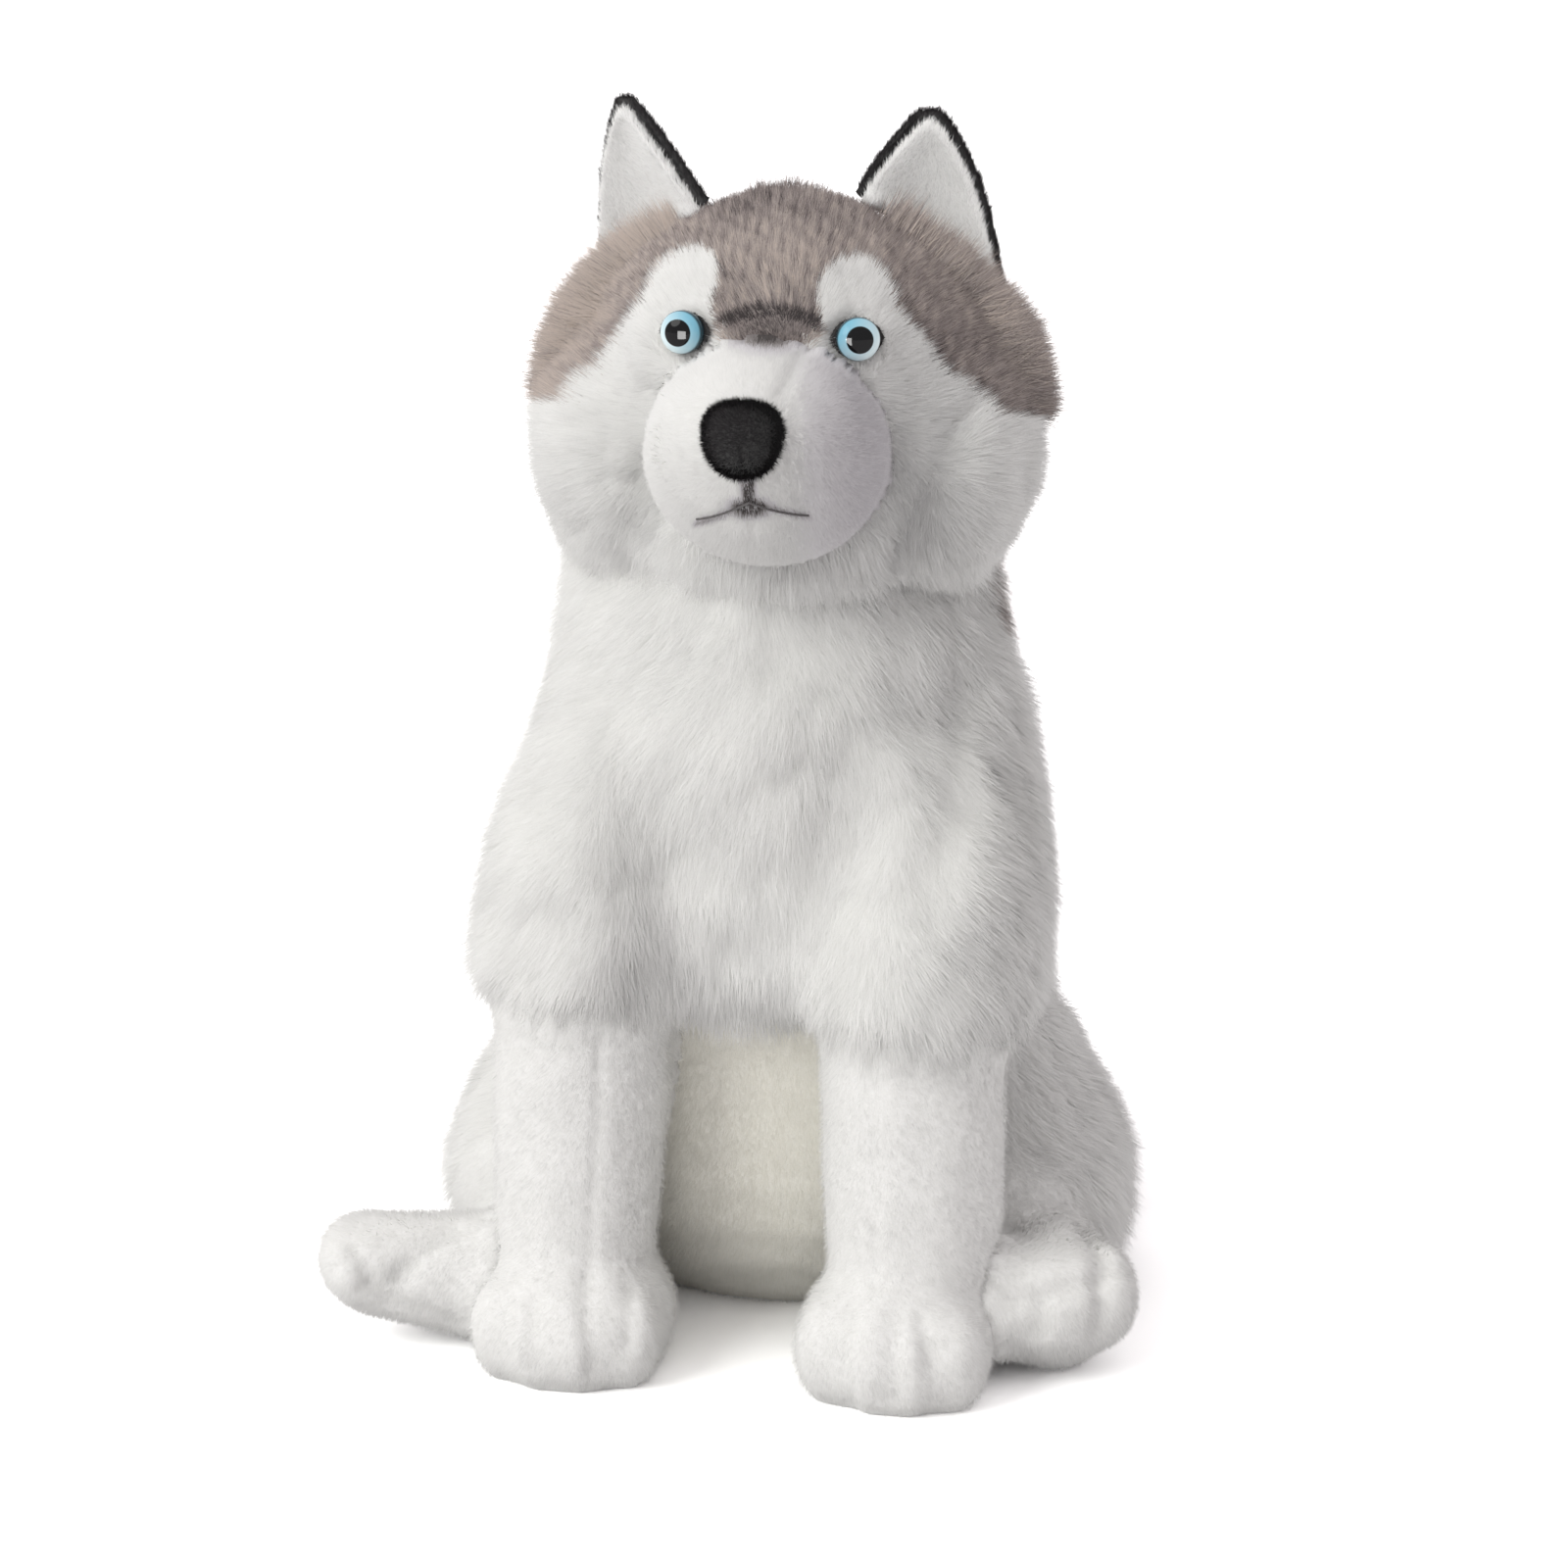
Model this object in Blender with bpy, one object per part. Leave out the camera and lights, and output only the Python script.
"""A sitting plush husky, half a metre tall, in metres with +Z up.

The dog looks along -Y and its own left side is +X. Each stuffed part is one closed body whose
surface is the outer reach of its pile: trunk, head, muzzle, four legs and tail. The ears are two
sewn panels each, a white lining and a black back. The eyes are plastic domes whose posts go
through the cover into the head, where a washer holds each one.
"""

from math import atan2, cos, pi, radians, sin, tau
from typing import NamedTuple

import bmesh
import bpy
from mathutils import Matrix, Vector
from mathutils.bvhtree import BVHTree

# Clearance between faces that touch. A cutter's corners are pushed out up to MAX_SHELL times as far.
GAP = 0.0003
SEAM_GAP = 0.0009
MAX_SHELL = 2.0

# How finely the soft bodies are filled and smoothed, and the angle above which an edge is sharp
BALL_SUBDIVISIONS = 3
STEP = 0.010
SMOOTHING = 0.5
SHARP_ANGLE = radians(40.0)
SAME_POINT = 1e-6
SLIVER = 1e-5

# Trunk: the centre and half-lengths of its swellings, from the seat up to the neck
SPINE = (
    (Vector((0.000, 0.036, 0.066)), Vector((0.118, 0.104, 0.088))),
    (Vector((0.000, 0.026, 0.130)), Vector((0.112, 0.098, 0.090))),
    (Vector((0.000, 0.012, 0.190)), Vector((0.111, 0.096, 0.090))),
    (Vector((0.001, -0.006, 0.240)), Vector((0.108, 0.090, 0.084))),
    (Vector((0.000, -0.006, 0.286)), Vector((0.096, 0.083, 0.066))),
    (Vector((-0.002, -0.002, 0.320)), Vector((0.088, 0.076, 0.048))),
)
CHEST = (
    (Vector((0.000, -0.042, 0.190)), Vector((0.086, 0.070, 0.064))),
    (Vector((0.000, -0.030, 0.252)), Vector((0.082, 0.078, 0.070))),
)
SHOULDER = (
    (Vector((0.060, -0.036, 0.228)), Vector((0.046, 0.062, 0.050))),
    (Vector((0.067, -0.054, 0.188)), Vector((0.052, 0.074, 0.050))),
    (Vector((0.068, -0.068, 0.160)), Vector((0.051, 0.069, 0.031))),
)
COAT_SHIFT = {"left": Vector((0.003, 0.0, -0.001)), "right": Vector((0.003, 0.0, 0.005))}

# Front legs
FRONT_LEG = {
    "left": (
        (Vector((0.0675, -0.084, 0.160)), Vector((0.0400, 0.0385, 0.0385))),
        (Vector((0.0690, -0.090, 0.090)), Vector((0.0385, 0.0370, 0.0365))),
        (Vector((0.0695, -0.093, 0.055)), Vector((0.0365, 0.0360, 0.0350))),
    ),
    "right": (
        (Vector((0.0660, -0.084, 0.160)), Vector((0.0385, 0.0385, 0.0385))),
        (Vector((0.0670, -0.090, 0.090)), Vector((0.0365, 0.0365, 0.0365))),
        (Vector((0.0680, -0.093, 0.055)), Vector((0.0350, 0.0360, 0.0350))),
    ),
}
PAW_CENTRE = Vector((0.066, -0.103, 0.021))
PAW_SIZE = Vector((0.0425, 0.046, 0.036))
TOE_COUNT = 4
TOE_SIZE = Vector((0.0160, 0.0200, 0.0240))
TOE_SPREAD = 0.0250
TOE_REACH = 0.0275
TOE_HEIGHT = 0.0200
TOE_FAN = 0.80

# Hind legs: a haunch against the trunk and a foot that points outward
HAUNCH = (
    (Vector((0.098, 0.014, 0.046)), Vector((0.050, 0.082, 0.064))),
    (Vector((0.076, 0.022, 0.100)), Vector((0.042, 0.062, 0.050))),
)
FOOT_HEEL = {"left": Vector((0.109, -0.031, 0.030)), "right": Vector((0.105, -0.086, 0.027))}
FOOT_TURN = {"left": radians(18.0), "right": radians(80.0)}
FOOT_HEEL_RADIUS = 0.029
FOOT_TOE_RADIUS = {"left": 0.0315, "right": 0.0235}
FOOT_LENGTH = {"left": 0.044, "right": 0.046}
FOOT_LIFT = {"left": 0.0, "right": 0.005}
FOOT_TOE_SIZE = {"left": Vector((0.018, 0.020, 0.025)), "right": Vector((0.014, 0.017, 0.017))}
FOOT_TOE_SPREAD = {"left": 0.0180, "right": 0.0150}
FOOT_TOE_REACH = {"left": 0.0170, "right": 0.0120}
FOOT_TOE_HEIGHT = {"left": 0.0340, "right": 0.0350}

# Tail, which lies on the ground behind the dog
TAIL = (
    (Vector((0.000, 0.112, 0.060)), Vector((0.022, 0.022, 0.024))),
    (Vector((0.016, 0.146, 0.038)), Vector((0.028, 0.028, 0.032))),
    (Vector((0.054, 0.160, 0.028)), Vector((0.030, 0.030, 0.031))),
    (Vector((0.092, 0.150, 0.025)), Vector((0.026, 0.026, 0.028))),
    (Vector((0.118, 0.128, 0.020)), Vector((0.013, 0.014, 0.017))),
)

# Head, in its own frame: it is turned to the dog's left about its middle
HEAD_PLACE = Vector((0.005, -0.014, 0.384))
HEAD_YAW = radians(4.0)
HEAD_ROLL = radians(1.2)
SKULL_SIZE = Vector((0.080, 0.084, 0.076))
SKULL_CENTRE = Vector((0.0, 0.004, 0.008))
BROW_CENTRE = Vector((0.0, -0.034, 0.022))
BROW_SIZE = Vector((0.066, 0.052, 0.050))
CHEEK_CENTRE = Vector((0.054, -0.014, -0.022))
CHEEK_SIZE = Vector((0.047, 0.052, 0.050))
THROAT_CENTRE = Vector((0.0, -0.030, -0.044))
THROAT_SIZE = Vector((0.062, 0.050, 0.032))
FRINGE_RADIUS = 0.017
FRINGE_ARC = (radians(-10.0), radians(60.0))
FRINGE_SIZE = Vector((0.084, 0.0, 0.060))
FRINGE_Y = 0.012
FRINGE_BALLS = 12

# Muzzle, nose and mouth, in the head's frame
MUZZLE = (
    (Vector((0.0, -0.078, -0.010)), Vector((0.0480, 0.044, 0.0435))),
    (Vector((0.0, -0.096, -0.004)), Vector((0.0430, 0.038, 0.0375))),
    (Vector((0.0, -0.110, 0.001)), Vector((0.0330, 0.030, 0.0280))),
)
CHIN = (
    (Vector((0.0, -0.084, -0.024)), Vector((0.034, 0.034, 0.0270))),
    (Vector((0.0, -0.100, -0.022)), Vector((0.026, 0.028, 0.0200))),
)
NOSE_CENTRE = Vector((-0.0023, -0.1385, 0.0065))
NOSE_SIZE = Vector((0.0148, 0.0108, 0.0146))
NOSE_SQUARENESS = 0.82
NOSE_NARROWING = 0.17
MOUTH_THREAD = 0.0005
MOUTH_MIDDLE = -0.0180
MOUTH_CORNERS = {"left": Vector((0.021, -0.0242)), "right": Vector((-0.021, -0.0282))}
MOUTH_SAG = 0.0008
MOUTH_HALF_STEPS = 9

# Where rays at the face start from, in front of the nose, in the head's frame
RAY_START = -0.25

# Eyes, in the head's frame
EYE_ACROSS = 0.0340
EYE_UP = 0.0350
EYE_TURN_OUT = radians(14.0)
EYE_TURN_UP = radians(4.0)
EYE_SINK = 0.0042
EYE_RADIUS = 0.0090
EYE_RIM = 0.0012
EYE_DOME = 0.0050
EYE_FLAT = 0.0030
EYE_SEGMENTS = 20
DOME_STEPS = 5
POST_RADIUS = 0.0022
POST_LENGTH = 0.0140
WASHER_RADIUS = 0.0080
WASHER_THICKNESS = 0.0016
WASHER_SET_BACK = 0.0080
WASHER_SEGMENTS = 16
PATCH_HALF_LENGTH = 0.0122
PATCH_HALF_HEIGHT = 0.0093
PATCH_THICKNESS = 0.0010
ALMOND_STEPS = 8
SOCKET_CLEARANCE = 0.0005
SOCKET_OUT = 0.020

# Ears, in the head's frame: where the inner edge, the outer edge and the tip of each one are,
# with +X outward on both. The right ear is turned outward more than the left.
EAR_INNER = {"left": Vector((0.022, 0.014, 0.060)), "right": Vector((0.030, -0.004, 0.060))}
EAR_OUTER = {"left": Vector((0.083, 0.020, 0.012)), "right": Vector((0.080, 0.036, 0.014))}
EAR_TIP = {"left": Vector((0.052, 0.008, 0.111)), "right": Vector((0.071, 0.010, 0.112))}
EAR_TIP_WIDTH = 0.0070
EAR_BULGE = 0.0030
EAR_CUP = 0.011
EAR_LINING_THICKNESS = 0.0042
EAR_BACK_THICKNESS = 0.0046
EAR_RIM = 0.0016
EAR_ROWS = 10
EAR_COLUMNS = 8
EAR_TOP = 0.985
EAR_TIP_BLUNTNESS = 8

SIDES = {"left": 1, "right": -1}


class Skin(NamedTuple):
    """How a soft body is skinned: its grain, smoothing rounds and triangle count."""

    grain: float
    rounds: int
    faces: int


SKINS = {
    "torso": Skin(0.0050, 14, 2100),
    "head": Skin(0.0040, 12, 2000),
    "muzzle": Skin(0.0028, 12, 800),
    "front_leg": Skin(0.0028, 8, 820),
    "hind_leg": Skin(0.0028, 10, 900),
    "tail": Skin(0.0050, 6, 340),
    "nose": Skin(0.0012, 6, 260),
}


class Look(NamedTuple):
    """A material's colour, roughness and sheen."""

    colour: tuple
    roughness: float
    sheen: float = 0.0


LOOKS = {
    "white_pile": Look((0.86, 0.85, 0.82), 0.9, 0.3),
    "short_white_pile": Look((0.84, 0.83, 0.80), 0.85, 0.2),
    "grey_brown_pile": Look((0.30, 0.25, 0.23), 0.9, 0.3),
    "black_pile": Look((0.020, 0.017, 0.017), 0.8),
    "black_felt": Look((0.018, 0.017, 0.017), 0.9),
    "dark_thread": Look((0.05, 0.045, 0.045), 0.7),
    "blue_eye": Look((0.33, 0.60, 0.74), 0.08),
    "washer_plastic": Look((0.75, 0.75, 0.72), 0.5),
}


def clear_scene():
    for obj in list(bpy.data.objects):
        bpy.data.objects.remove(obj, do_unlink=True)


def material(name, look):
    mat = bpy.data.materials.new(name)
    mat.use_nodes = True
    shader = mat.node_tree.nodes["Principled BSDF"]
    shader.inputs["Base Color"].default_value = (*look.colour, 1.0)
    shader.inputs["Roughness"].default_value = look.roughness
    shader.inputs["Metallic"].default_value = 0.0
    shader.inputs["Sheen Weight"].default_value = look.sheen
    return mat


def to_object(name, bm, mat):
    """Turns a bmesh into a named object with outward faces."""
    bmesh.ops.recalc_face_normals(bm, faces=bm.faces)
    mesh = bpy.data.meshes.new(name)
    bm.to_mesh(mesh)
    bm.free()
    obj = bpy.data.objects.new(name, mesh)
    bpy.context.collection.objects.link(obj)
    if mat is not None:
        mesh.materials.append(mat)
    return obj


def apply_modifiers(obj):
    """Replaces the object's mesh by what its modifiers make of it."""
    depsgraph = bpy.context.evaluated_depsgraph_get()
    made = bpy.data.meshes.new_from_object(obj.evaluated_get(depsgraph))
    made.name = obj.name
    obj.modifiers.clear()
    obj.data = made


def mirrored(point, side):
    return Vector((point.x * SIDES[side], point.y, point.z))


def ball(bm, centre, size, turn=None):
    """Adds an ellipsoid with the three half-lengths in size."""
    matrix = Matrix.Translation(centre) @ (turn or Matrix()) @ Matrix.Diagonal((*size, 1.0))
    bmesh.ops.create_icosphere(bm, subdivisions=BALL_SUBDIVISIONS, radius=1.0, matrix=matrix)


def swelling(bm, stations, move=None):
    """Fills the way from station to station with balls, close enough to melt into one form."""
    move = move or (lambda point: point)
    for (start, start_size), (end, end_size) in zip(stations, stations[1:], strict=False):
        steps = max(2, round((end - start).length / STEP))
        for i in range(steps + 1):
            t = i / steps
            ball(bm, move(start.lerp(end, t)), start_size.lerp(end_size, t))


def keep_largest_island(bm):
    """Deletes every loose island but the one with the most faces."""
    bm.faces.ensure_lookup_table()
    left = set(bm.faces)
    islands = []
    while left:
        stack = [left.pop()]
        island = []
        while stack:
            face = stack.pop()
            island.append(face)
            for edge in face.edges:
                for other in edge.link_faces:
                    if other in left:
                        left.discard(other)
                        stack.append(other)
        islands.append(island)
    islands.sort(key=len)
    for island in islands[:-1]:
        bmesh.ops.delete(bm, geom=island, context="FACES")


def stand_on_ground(obj):
    """Cuts off what lies under the ground and closes the cut with one flat face."""
    bm = bmesh.new()
    bm.from_mesh(obj.data)
    cut = bmesh.ops.bisect_plane(
        bm,
        geom=bm.verts[:] + bm.edges[:] + bm.faces[:],
        plane_co=(0.0, 0.0, 0.0),
        plane_no=(0.0, 0.0, -1.0),
        clear_outer=True,
        dist=SAME_POINT,
    )
    edges = [e for e in cut["geom_cut"] if isinstance(e, bmesh.types.BMEdge)]
    bmesh.ops.triangle_fill(bm, edges=edges, use_beauty=True, normal=(0.0, 0.0, -1.0))
    keep_largest_island(bm)
    bmesh.ops.recalc_face_normals(bm, faces=bm.faces)
    bm.to_mesh(obj.data)
    bm.free()


def stuffed(name, bm, mat, skin, grounded=False):
    """Melts the joined balls of a soft body into one skin and thins it to a triangle count."""
    obj = to_object(name, bm, mat)
    remesh = obj.modifiers.new("Melt", "REMESH")
    remesh.mode = "VOXEL"
    remesh.voxel_size = skin.grain
    smooth = obj.modifiers.new("Smooth", "SMOOTH")
    smooth.factor = SMOOTHING
    smooth.iterations = skin.rounds
    apply_modifiers(obj)
    triangles = sum(len(p.vertices) - 2 for p in obj.data.polygons)
    thin = obj.modifiers.new("Thin", "DECIMATE")
    thin.ratio = min(1.0, skin.faces / triangles)
    apply_modifiers(obj)
    if not obj.data.materials:
        obj.data.materials.append(mat)
    if grounded:
        stand_on_ground(obj)
    obj.data.shade_smooth()
    return obj


def swollen_copy(obj, amount):
    """A hidden cutter: the body with every point pushed outward along its normal."""
    mesh = obj.data.copy()
    bm = bmesh.new()
    bm.from_mesh(mesh)
    bm.normal_update()
    moves = [v.normal * amount * min(v.calc_shell_factor(), MAX_SHELL) for v in bm.verts]
    for vertex, move in zip(bm.verts, moves, strict=True):
        vertex.co += move
    bm.to_mesh(mesh)
    bm.free()
    cutter = bpy.data.objects.new(obj.name + "_cutter", mesh)
    bpy.context.collection.objects.link(cutter)
    return cutter


def carve(obj, cutter):
    """Takes the cutter out of the object and deletes the cutter."""
    cutter.hide_render = True
    cutter.display_type = "WIRE"
    cut = obj.modifiers.new("Carve", "BOOLEAN")
    cut.operation = "DIFFERENCE"
    cut.solver = "EXACT"
    cut.object = cutter
    apply_modifiers(obj)
    bpy.data.objects.remove(cutter, do_unlink=True)
    bm = bmesh.new()
    bm.from_mesh(obj.data)
    keep_largest_island(bm)
    bmesh.ops.dissolve_degenerate(bm, dist=SLIVER, edges=bm.edges)
    bmesh.ops.triangulate(bm, faces=bm.faces)
    bm.to_mesh(obj.data)
    bm.free()
    obj.data.shade_smooth()


def sew_against(obj, *neighbours):
    """Cuts the object back to where it meets its neighbours, with a small gap."""
    for neighbour in neighbours:
        carve(obj, swollen_copy(neighbour, SEAM_GAP))


def surface_hit(obj, start, direction):
    """Where a ray from start meets the object's mesh, and the face's normal there."""
    bm = bmesh.new()
    bm.from_mesh(obj.data)
    tree = BVHTree.FromBMesh(bm)
    point, normal, _, _ = tree.ray_cast(start, direction)
    bm.free()
    return point, normal


def head_frame():
    turn = Matrix.Rotation(HEAD_YAW, 4, "Z") @ Matrix.Rotation(HEAD_ROLL, 4, "Y")
    return Matrix.Translation(HEAD_PLACE) @ turn


def turned(name, profile, steps, mat, frame):
    """Turns a profile of (radius, height) points about the frame's Z axis."""
    bm = bmesh.new()
    verts = [bm.verts.new((radius, 0.0, height)) for radius, height in profile]
    edges = [bm.edges.new((a, b)) for a, b in zip(verts, verts[1:], strict=False)]
    bmesh.ops.spin(
        bm,
        geom=verts + edges,
        cent=(0.0, 0.0, 0.0),
        axis=(0.0, 0.0, 1.0),
        angle=tau,
        steps=steps,
        use_merge=True,
    )
    bmesh.ops.remove_doubles(bm, verts=bm.verts, dist=SAME_POINT)
    bmesh.ops.transform(bm, matrix=frame, verts=bm.verts)
    obj = to_object(name, bm, mat)
    obj.data.shade_smooth()
    obj.data.set_sharp_from_angle(angle=SHARP_ANGLE)
    return obj


def torso(mat):
    """The trunk with the long coat that hangs over the tops of the front legs."""
    bm = bmesh.new()
    swelling(bm, SPINE)
    swelling(bm, CHEST)
    for side in SIDES:
        swelling(bm, SHOULDER, lambda point, side=side: mirrored(point, side) + COAT_SHIFT[side])
    return stuffed("torso", bm, mat, SKINS["torso"], grounded=True)


def front_leg(side, mat):
    """A straight leg with a paw whose toes are parted by soft creases."""
    bm = bmesh.new()
    swelling(bm, FRONT_LEG[side], lambda point: mirrored(point, side))
    paw = mirrored(PAW_CENTRE, side)
    ball(bm, paw, PAW_SIZE)
    for i in range(TOE_COUNT):
        across = TOE_SPREAD * (2 * i / (TOE_COUNT - 1) - 1)
        reach = TOE_REACH * cos(across / TOE_SPREAD * TOE_FAN)
        ball(bm, Vector((paw.x + across, paw.y - reach, TOE_HEIGHT)), TOE_SIZE)
    return stuffed(f"front_leg_{side}", bm, mat, SKINS["front_leg"], grounded=True)


def hind_leg(side, mat):
    """A folded leg: the haunch lies against the trunk and the foot points outward."""
    bm = bmesh.new()
    swelling(bm, HAUNCH, lambda point: mirrored(point, side))
    turn = FOOT_TURN[side] * SIDES[side]
    ahead = Vector((sin(turn), -cos(turn), 0.0))
    aside = Vector((cos(turn), sin(turn), 0.0))
    heel = mirrored(FOOT_HEEL[side], side)
    toe = heel + ahead * FOOT_LENGTH[side] + Vector((0.0, 0.0, FOOT_LIFT[side]))
    round_size = Vector((1.0, 1.0, 1.0))
    foot = ((heel, round_size * FOOT_HEEL_RADIUS), (toe, round_size * FOOT_TOE_RADIUS[side]))
    swelling(bm, foot)
    for i in range(TOE_COUNT):
        across = (2 * i / (TOE_COUNT - 1) - 1) * FOOT_TOE_SPREAD[side]
        reach = FOOT_TOE_REACH[side] * cos(across / FOOT_TOE_SPREAD[side] * TOE_FAN)
        place = toe + aside * across + ahead * reach
        place.z = FOOT_TOE_HEIGHT[side]
        ball(bm, place, FOOT_TOE_SIZE[side], Matrix.Rotation(turn, 4, "Z"))
    return stuffed(f"hind_leg_{side}", bm, mat, SKINS["hind_leg"], grounded=True)


def tail(mat):
    """The brush, which lies on the ground behind the dog and curls to its left."""
    bm = bmesh.new()
    swelling(bm, TAIL)
    return stuffed("tail", bm, mat, SKINS["tail"], grounded=True)


def head(mat):
    """The skull with its cheeks and the standing fringe behind the grey cap."""
    bm = bmesh.new()
    ball(bm, SKULL_CENTRE, SKULL_SIZE)
    ball(bm, BROW_CENTRE, BROW_SIZE)
    ball(bm, THROAT_CENTRE, THROAT_SIZE)
    for side in SIDES:
        ball(bm, mirrored(CHEEK_CENTRE, side), CHEEK_SIZE)
        for i in range(FRINGE_BALLS):
            angle = FRINGE_ARC[0] + (FRINGE_ARC[1] - FRINGE_ARC[0]) * i / (FRINGE_BALLS - 1)
            place = Vector((FRINGE_SIZE.x * cos(angle), FRINGE_Y, FRINGE_SIZE.z * sin(angle)))
            ball(bm, mirrored(place, side), (FRINGE_RADIUS,) * 3)
    bmesh.ops.transform(bm, matrix=head_frame(), verts=bm.verts)
    return stuffed("head", bm, mat, SKINS["head"])


def muzzle(mat):
    """The round muzzle with the chin under it."""
    bm = bmesh.new()
    swelling(bm, MUZZLE)
    swelling(bm, CHIN)
    bmesh.ops.transform(bm, matrix=head_frame(), verts=bm.verts)
    return stuffed("muzzle", bm, mat, SKINS["muzzle"])


def nose(mat):
    """A rounded block, wider at the top, made from a ball that is pulled towards a box."""
    bm = bmesh.new()
    bmesh.ops.create_icosphere(bm, subdivisions=BALL_SUBDIVISIONS, radius=1.0)
    for vertex in bm.verts:
        co = vertex.co
        squared = [abs(c) ** NOSE_SQUARENESS * (1 if c > 0 else -1) for c in co]
        narrowing = 1.0 + NOSE_NARROWING * co.z
        vertex.co = Vector(
            (
                squared[0] * NOSE_SIZE.x * narrowing,
                squared[1] * NOSE_SIZE.y,
                squared[2] * NOSE_SIZE.z,
            )
        )
    bmesh.ops.translate(bm, vec=NOSE_CENTRE, verts=bm.verts)
    bmesh.ops.transform(bm, matrix=head_frame(), verts=bm.verts)
    return stuffed("nose", bm, mat, SKINS["nose"])


def mouth_points(cover):
    """The mouth's line on the muzzle: corner to middle to corner, as a shallow double curve."""
    frame = head_frame()
    ahead = (frame.to_3x3() @ Vector((0.0, 1.0, 0.0))).normalized()
    points = []
    for i in range(-MOUTH_HALF_STEPS, MOUTH_HALF_STEPS + 1):
        t = abs(i) / MOUTH_HALF_STEPS
        corner = MOUTH_CORNERS["left" if i > 0 else "right"]
        place = Vector((0.0, MOUTH_MIDDLE)).lerp(corner, t)
        start = frame @ Vector((place.x, RAY_START, place.y - MOUTH_SAG * sin(pi * t)))
        point, normal = surface_hit(cover, start, ahead)
        points.append(point + normal * (MOUTH_THREAD + GAP))
    return points


def mouth_stitch(mat, cover):
    """One thread sewn along the mouth's line."""
    points = mouth_points(cover)
    curve = bpy.data.curves.new("mouth_stitch", "CURVE")
    curve.dimensions = "3D"
    spline = curve.splines.new("POLY")
    spline.points.add(len(points) - 1)
    for target, point in zip(spline.points, points, strict=True):
        target.co = (*point, 1.0)
    curve.bevel_depth = MOUTH_THREAD
    curve.bevel_resolution = 1
    curve.use_fill_caps = True
    curve.materials.append(mat)
    obj = bpy.data.objects.new("mouth_stitch", curve)
    bpy.context.collection.objects.link(obj)
    return obj


def eye_frame(cover, side):
    """A frame on the skull whose Z axis points out of the eye."""
    frame = head_frame()
    turn_out = EYE_TURN_OUT * SIDES[side]
    out = Vector((sin(turn_out), -cos(turn_out) * cos(EYE_TURN_UP), sin(EYE_TURN_UP))).normalized()
    out = (frame.to_3x3() @ out).normalized()
    start = frame @ Vector((EYE_ACROSS * SIDES[side], RAY_START, EYE_UP))
    ahead = frame.to_3x3() @ Vector((0.0, 1.0, 0.0))
    point, _ = surface_hit(cover, start, ahead)
    up = Vector((0.0, 0.0, 1.0))
    across = up.cross(out).normalized()
    up = out.cross(across)
    turn = Matrix((across, up, out)).transposed().to_4x4()
    return Matrix.Translation(point - out * EYE_SINK) @ turn


def almond(half_length, half_height):
    """The pointed outline of the felt behind an eye."""
    radius = (half_length**2 + half_height**2) / (2 * half_height)
    reach = atan2(half_length, radius - half_height)
    outline = []
    for sign in (1, -1):
        for i in range(ALMOND_STEPS):
            angle = -reach + 2 * reach * i / ALMOND_STEPS
            x = radius * sin(angle)
            y = radius * cos(angle) - (radius - half_height)
            outline.append(Vector((x * sign, y * sign)))
    return outline


def slab(name, outline, bottom, top, mat, frame):
    """Extrudes a flat outline from bottom to top along the frame's Z axis."""
    bm = bmesh.new()
    verts = [bm.verts.new((p.x, p.y, bottom)) for p in outline]
    face = bm.faces.new(verts)
    made = bmesh.ops.extrude_face_region(bm, geom=[face])
    raised = [v for v in made["geom"] if isinstance(v, bmesh.types.BMVert)]
    bmesh.ops.translate(bm, vec=(0.0, 0.0, top - bottom), verts=raised)
    bmesh.ops.transform(bm, matrix=frame, verts=bm.verts)
    return to_object(name, bm, mat)


def eye(side, mat, frame):
    """A domed plastic eye with its post behind it, turned as one piece."""
    base = PATCH_THICKNESS + GAP
    profile = [(0.0, -POST_LENGTH), (POST_RADIUS, -POST_LENGTH), (POST_RADIUS, base)]
    profile += [(EYE_RADIUS - EYE_RIM, base), (EYE_RADIUS, base + EYE_RIM)]
    profile += [(EYE_RADIUS, base + EYE_FLAT)]
    for i in range(1, DOME_STEPS + 1):
        angle = pi / 2 * i / DOME_STEPS
        height = base + EYE_FLAT + EYE_DOME * sin(angle)
        profile.append((EYE_RADIUS * cos(angle), height))
    profile[-1] = (0.0, profile[-1][1])
    return turned(f"eye_{side}", profile, EYE_SEGMENTS, mat, frame)


def eye_washer(side, mat, frame):
    """The ring that holds the post from inside the head."""
    inner = POST_RADIUS + GAP
    back, front = -WASHER_SET_BACK - WASHER_THICKNESS, -WASHER_SET_BACK
    profile = [(inner, back), (WASHER_RADIUS, back), (WASHER_RADIUS, front), (inner, front)]
    profile.append(profile[0])
    return turned(f"eye_washer_{side}", profile, WASHER_SEGMENTS, mat, frame)


def eye_patch(side, mat, frame):
    """The black almond of felt between the eye and the fur, with a hole for the post."""
    outline = almond(PATCH_HALF_LENGTH, PATCH_HALF_HEIGHT)
    patch = slab(f"eye_patch_{side}", outline, 0.0, PATCH_THICKNESS, mat, frame)
    hole = bmesh.new()
    bmesh.ops.create_cone(
        hole,
        cap_ends=True,
        segments=WASHER_SEGMENTS,
        radius1=POST_RADIUS + GAP,
        radius2=POST_RADIUS + GAP,
        depth=4 * PATCH_THICKNESS,
        matrix=frame,
    )
    carve(patch, to_object("post_hole", hole, None))
    return patch


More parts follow.
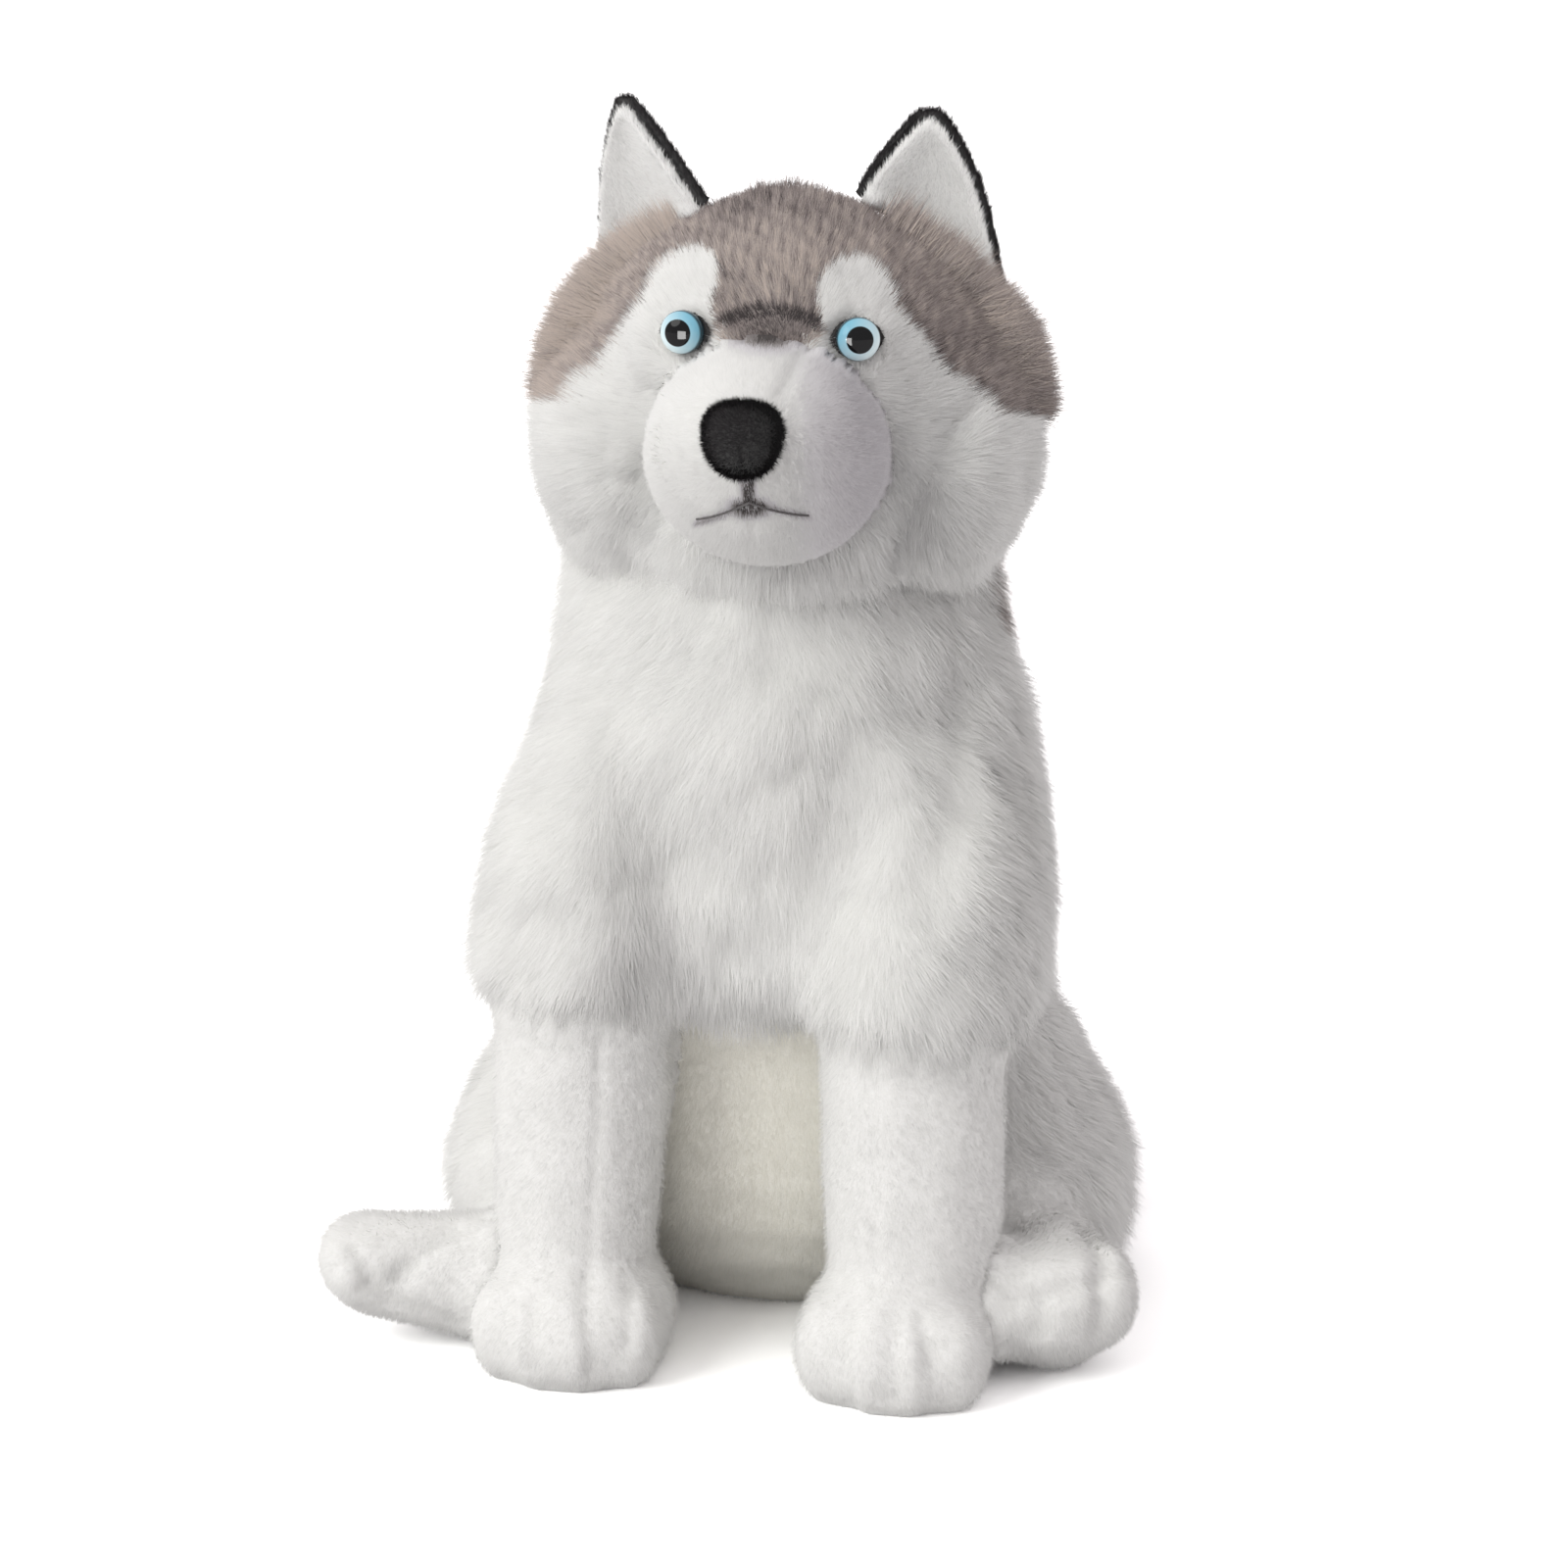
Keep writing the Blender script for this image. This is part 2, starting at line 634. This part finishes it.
def cut_eye_socket(skull, frame):
    """Opens a shallow socket in the pile, a hole for the post and a pocket for the washer."""
    clear = SOCKET_CLEARANCE
    outline = almond(PATCH_HALF_LENGTH + clear, PATCH_HALF_HEIGHT + clear)
    carve(skull, slab("socket", outline, -clear, SOCKET_OUT, None, frame))
    post, washer = POST_RADIUS + clear, WASHER_RADIUS + clear
    back = -WASHER_SET_BACK - WASHER_THICKNESS - clear
    front = -WASHER_SET_BACK + clear
    profile = [(0.0, -POST_LENGTH - clear), (post, -POST_LENGTH - clear), (post, back)]
    profile += [(washer, back), (washer, front), (post, front), (post, clear), (0.0, clear)]
    carve(skull, turned("post_pocket", profile, WASHER_SEGMENTS, None, frame))


def ear_point(side, across, up, grow):
    """A point of the ear's sheet: across runs -1 to 1, up 0 to 1; grow widens the outline."""
    inner = EAR_INNER[side].lerp(EAR_TIP[side], up)
    outer = EAR_OUTER[side].lerp(EAR_TIP[side], up)
    base = (EAR_OUTER[side] - EAR_INNER[side]).normalized()
    level = Vector((base.x, base.y, 0.0)).normalized()
    sideways = base.lerp(level, up).normalized()
    width = (outer - inner).length / 2 + EAR_BULGE * sin(pi * up) + EAR_TIP_WIDTH * up + grow
    width *= (1 - up**EAR_TIP_BLUNTNESS) ** 0.5
    rise = EAR_TIP[side] - (EAR_INNER[side] + EAR_OUTER[side]) / 2
    behind = rise.cross(base).normalized()
    cup = EAR_CUP * (1 - across**2) * (1 - up) ** 0.5
    point = (inner + outer) / 2 + sideways * (width * across) + behind * cup
    point += rise.normalized() * (grow * up)
    return point


def ear_sheet(bm, sheet, distance):
    """Adds the sheet's points, moved forward along its normals, and returns them by row."""
    rows, columns = len(sheet) - 1, len(sheet[0]) - 1
    layer = []
    for r in range(rows + 1):
        line = []
        for c in range(columns + 1):
            along = sheet[r][min(c + 1, columns)] - sheet[r][max(c - 1, 0)]
            upward = sheet[min(r + 1, rows)][c] - sheet[max(r - 1, 0)][c]
            normal = along.cross(upward).normalized()
            line.append(bm.verts.new(sheet[r][c] + normal * distance))
        layer.append(line)
    return layer


def ear_panel(name, side, near, far, grow, mat):
    """One panel of an ear: the cupped sheet between two distances in front of its middle."""
    columns, rows = EAR_COLUMNS, EAR_ROWS
    sheet = [
        [
            ear_point(side, 2 * c / columns - 1, EAR_TOP * sin(pi / 2 * r / rows), grow)
            for c in range(columns + 1)
        ]
        for r in range(rows + 1)
    ]
    bm = bmesh.new()
    first, second = (ear_sheet(bm, sheet, distance) for distance in (near, far))
    for layer in (first, second):
        for r in range(rows):
            for c in range(columns):
                quad = (layer[r][c], layer[r][c + 1], layer[r + 1][c + 1], layer[r + 1][c])
                bm.faces.new(quad)
    for r in range(rows):
        for c in (0, columns):
            bm.faces.new((first[r][c], first[r + 1][c], second[r + 1][c], second[r][c]))
    for c in range(columns):
        for r in (0, rows):
            bm.faces.new((first[r][c], first[r][c + 1], second[r][c + 1], second[r][c]))
    flip = Matrix.Diagonal((SIDES[side], 1.0, 1.0, 1.0))
    bmesh.ops.transform(bm, matrix=head_frame() @ flip, verts=bm.verts)
    bmesh.ops.triangulate(bm, faces=bm.faces)
    obj = to_object(name, bm, mat)
    obj.data.shade_smooth()
    return obj


def centre_on_ground(pieces):
    """Moves the dog so that the middle of its outline from above is the origin."""
    bpy.context.view_layer.update()
    corners = [obj.matrix_world @ Vector(corner) for obj in pieces for corner in obj.bound_box]
    middle_x = (min(p.x for p in corners) + max(p.x for p in corners)) / 2
    middle_y = (min(p.y for p in corners) + max(p.y for p in corners)) / 2
    for obj in pieces:
        obj.location = (-middle_x, -middle_y, 0.0)
    bpy.context.view_layer.update()


def build():
    clear_scene()
    mats = {name: material(name, look) for name, look in LOOKS.items()}

    body = torso(mats["white_pile"])
    front = {side: front_leg(side, mats["short_white_pile"]) for side in SIDES}
    hind = {side: hind_leg(side, mats["short_white_pile"]) for side in SIDES}
    for side in SIDES:
        sew_against(front[side], body)
        sew_against(hind[side], body, front[side])
    brush = tail(mats["grey_brown_pile"])
    sew_against(brush, body, hind["left"])
    pieces = [body, *front.values(), *hind.values(), brush]

    skull = head(mats["grey_brown_pile"])
    frames = {side: eye_frame(skull, side) for side in SIDES}
    snout = muzzle(mats["short_white_pile"])
    sew_against(snout, skull)
    for side in SIDES:
        cut_eye_socket(skull, frames[side])
    sew_against(skull, body)
    button = nose(mats["black_pile"])
    sew_against(button, snout)
    pieces += [skull, snout, button, mouth_stitch(mats["dark_thread"], snout)]

    for side in SIDES:
        pieces.append(eye(side, mats["blue_eye"], frames[side]))
        pieces.append(eye_washer(side, mats["washer_plastic"], frames[side]))
        pieces.append(eye_patch(side, mats["black_felt"], frames[side]))
        lining = ear_panel(
            f"ear_lining_{side}",
            side,
            GAP / 2,
            EAR_LINING_THICKNESS,
            0.0,
            mats["short_white_pile"],
        )
        back = ear_panel(
            f"ear_back_{side}",
            side,
            -GAP / 2,
            -EAR_BACK_THICKNESS,
            EAR_RIM,
            mats["black_pile"],
        )
        for panel in (lining, back):
            sew_against(panel, skull)
            pieces.append(panel)
    centre_on_ground(pieces)


build()
